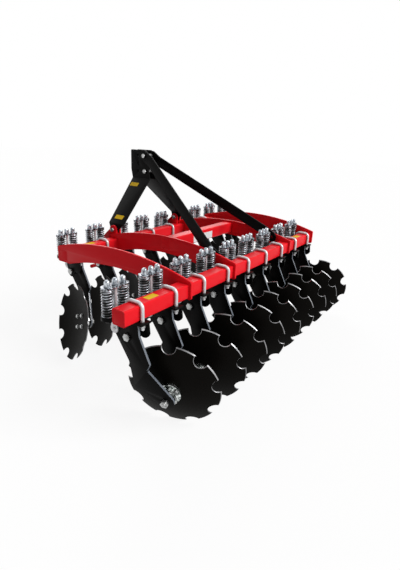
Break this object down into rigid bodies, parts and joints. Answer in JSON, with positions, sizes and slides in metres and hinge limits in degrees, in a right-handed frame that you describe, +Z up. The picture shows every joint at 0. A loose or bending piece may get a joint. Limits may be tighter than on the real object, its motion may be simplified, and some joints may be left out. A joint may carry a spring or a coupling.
{
  "type": "disc harrow",
  "caption": "Mounted disc harrow for a three-point linkage: two opposed gangs of notched dished discs, each on its own arm with a spring pack, under a frame with a mast.",
  "frame": {"origin": "on the floor under the middle of the machine's outline", "axes": "+X to the right of the direction of travel, +Y forward to the tractor, +Z up"},
  "size_m": [2.676, 1.5916, 1.334],
  "materials": {
    "frame_paint": "gloss",
    "black_paint": "satin",
    "disc_paint": "satin",
    "zinc_plate": "bright zinc",
    "galvanised": "pale zinc",
    "spring_steel": "dark oiled steel"
  },
  "bodies": {
    "frame": {"arch_plate_left_outer": "frame_paint", "arch_plate_left_inner": "frame_paint", "arch_plate_right_inner": "frame_paint", "arch_plate_right_outer": "frame_paint", "arm_pivot_bolts": "zinc_plate", "cross_tube": "frame_paint", "disc_arms": "black_paint", "disc_spindles": "zinc_plate", "frame_bolts": "zinc_plate", "front_beam": "frame_paint", "rear_beam": "frame_paint", "hitch_lugs_left": "frame_paint", "hitch_lugs_right": "frame_paint", "hitch_pin_left": "frame_paint", "hitch_pin_right": "frame_paint", "mast_plate_left": "black_paint", "mast_plate_right": "black_paint", "mast_spacers": "zinc_plate", "spring_rods": "zinc_plate", "spring_yokes": "zinc_plate", "springs": "spring_steel", "stay_left": "black_paint", "stay_right": "black_paint", "tube_end_caps": "frame_paint", "u_bolts": "galvanised", "unit_brackets": "black_paint"},
    "disc_rear_1_body": {"disc_rear_1": "disc_paint"},
    "disc_rear_2_body": {"disc_rear_2": "disc_paint"},
    "disc_rear_3_body": {"disc_rear_3": "disc_paint"},
    "disc_rear_4_body": {"disc_rear_4": "disc_paint"},
    "disc_rear_5_body": {"disc_rear_5": "disc_paint"},
    "disc_rear_6_body": {"disc_rear_6": "disc_paint"},
    "disc_rear_7_body": {"disc_rear_7": "disc_paint"},
    "disc_rear_8_body": {"disc_rear_8": "disc_paint"},
    "disc_rear_9_body": {"disc_rear_9": "disc_paint"},
    "disc_front_1_body": {"disc_front_1": "disc_paint"},
    "disc_front_2_body": {"disc_front_2": "disc_paint"},
    "disc_front_3_body": {"disc_front_3": "disc_paint"},
    "disc_front_4_body": {"disc_front_4": "disc_paint"},
    "disc_front_5_body": {"disc_front_5": "disc_paint"},
    "disc_front_6_body": {"disc_front_6": "disc_paint"},
    "disc_front_7_body": {"disc_front_7": "disc_paint"},
    "disc_front_8_body": {"disc_front_8": "disc_paint"},
    "disc_front_9_body": {"disc_front_9": "disc_paint"}
  },
  "joints": [
    {"name": "disc_rear_1_spin", "type": "hinge", "parent": "frame", "child": "disc_rear_1_body", "pos_m": [-1.07927, -0.55425, 0.24876], "axis": [0.9213, 0.3208, 0.2198], "continuous": true},
    {"name": "disc_rear_2_spin", "type": "hinge", "parent": "frame", "child": "disc_rear_2_body", "pos_m": [-0.82927, -0.55425, 0.24876], "axis": [0.9213, 0.3208, 0.2198], "continuous": true},
    {"name": "disc_rear_3_spin", "type": "hinge", "parent": "frame", "child": "disc_rear_3_body", "pos_m": [-0.57927, -0.55425, 0.24876], "axis": [0.9213, 0.3208, 0.2198], "continuous": true},
    {"name": "disc_rear_4_spin", "type": "hinge", "parent": "frame", "child": "disc_rear_4_body", "pos_m": [-0.32927, -0.55425, 0.24876], "axis": [0.9213, 0.3208, 0.2198], "continuous": true},
    {"name": "disc_rear_5_spin", "type": "hinge", "parent": "frame", "child": "disc_rear_5_body", "pos_m": [-0.07927, -0.55425, 0.24876], "axis": [0.9213, 0.3208, 0.2198], "continuous": true},
    {"name": "disc_rear_6_spin", "type": "hinge", "parent": "frame", "child": "disc_rear_6_body", "pos_m": [0.17073, -0.55425, 0.24876], "axis": [0.9213, 0.3208, 0.2198], "continuous": true},
    {"name": "disc_rear_7_spin", "type": "hinge", "parent": "frame", "child": "disc_rear_7_body", "pos_m": [0.42073, -0.55425, 0.24876], "axis": [0.9213, 0.3208, 0.2198], "continuous": true},
    {"name": "disc_rear_8_spin", "type": "hinge", "parent": "frame", "child": "disc_rear_8_body", "pos_m": [0.67073, -0.55425, 0.24876], "axis": [0.9213, 0.3208, 0.2198], "continuous": true},
    {"name": "disc_rear_9_spin", "type": "hinge", "parent": "frame", "child": "disc_rear_9_body", "pos_m": [0.92073, -0.55425, 0.24876], "axis": [0.9213, 0.3208, 0.2198], "continuous": true},
    {"name": "disc_front_1_spin", "type": "hinge", "parent": "frame", "child": "disc_front_1_body", "pos_m": [1.07927, 0.44575, 0.24876], "axis": [-0.9213, 0.3208, 0.2198], "continuous": true},
    {"name": "disc_front_2_spin", "type": "hinge", "parent": "frame", "child": "disc_front_2_body", "pos_m": [0.82927, 0.44575, 0.24876], "axis": [-0.9213, 0.3208, 0.2198], "continuous": true},
    {"name": "disc_front_3_spin", "type": "hinge", "parent": "frame", "child": "disc_front_3_body", "pos_m": [0.57927, 0.44575, 0.24876], "axis": [-0.9213, 0.3208, 0.2198], "continuous": true},
    {"name": "disc_front_4_spin", "type": "hinge", "parent": "frame", "child": "disc_front_4_body", "pos_m": [0.32927, 0.44575, 0.24876], "axis": [-0.9213, 0.3208, 0.2198], "continuous": true},
    {"name": "disc_front_5_spin", "type": "hinge", "parent": "frame", "child": "disc_front_5_body", "pos_m": [0.07927, 0.44575, 0.24876], "axis": [-0.9213, 0.3208, 0.2198], "continuous": true},
    {"name": "disc_front_6_spin", "type": "hinge", "parent": "frame", "child": "disc_front_6_body", "pos_m": [-0.17073, 0.44575, 0.24876], "axis": [-0.9213, 0.3208, 0.2198], "continuous": true},
    {"name": "disc_front_7_spin", "type": "hinge", "parent": "frame", "child": "disc_front_7_body", "pos_m": [-0.42073, 0.44575, 0.24876], "axis": [-0.9213, 0.3208, 0.2198], "continuous": true},
    {"name": "disc_front_8_spin", "type": "hinge", "parent": "frame", "child": "disc_front_8_body", "pos_m": [-0.67073, 0.44575, 0.24876], "axis": [-0.9213, 0.3208, 0.2198], "continuous": true},
    {"name": "disc_front_9_spin", "type": "hinge", "parent": "frame", "child": "disc_front_9_body", "pos_m": [-0.92073, 0.44575, 0.24876], "axis": [-0.9213, 0.3208, 0.2198], "continuous": true}
  ]
}
